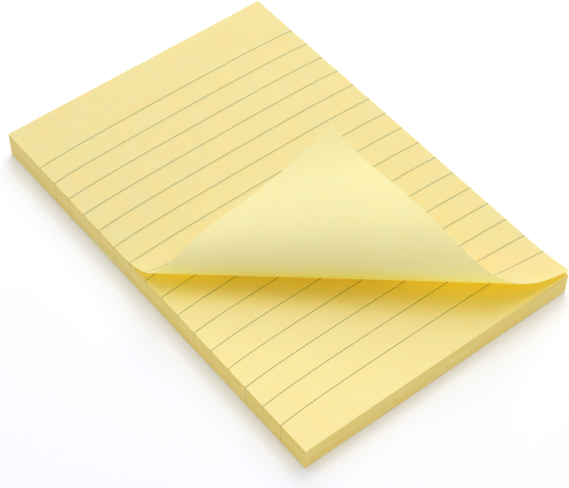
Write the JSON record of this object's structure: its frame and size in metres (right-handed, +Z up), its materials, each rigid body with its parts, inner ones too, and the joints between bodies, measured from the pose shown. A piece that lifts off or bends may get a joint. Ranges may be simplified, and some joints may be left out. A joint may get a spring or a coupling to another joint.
{
  "type": "lined sticky note pad",
  "caption": "Pad of lined sticky notes, gummed at the header, its top note curled over from a free corner to show the plain underside.",
  "frame": {"origin": "middle of the pad's underside, where it rests on the desk", "axes": "+X across the notes to the right, +Y up the notes towards the gummed header, +Z up out of the pad"},
  "size_m": [0.1017, 0.1524, 0.0401],
  "materials": {
    "note_paper": "matt, uncoated, ruled with thin green-grey lines",
    "backing_paper": "matt, plain"
  },
  "bodies": {
    "root": {"page_block": "note_paper", "top_note": "note_paper", "backing_sheet": "backing_paper"}
  },
  "joints": []
}
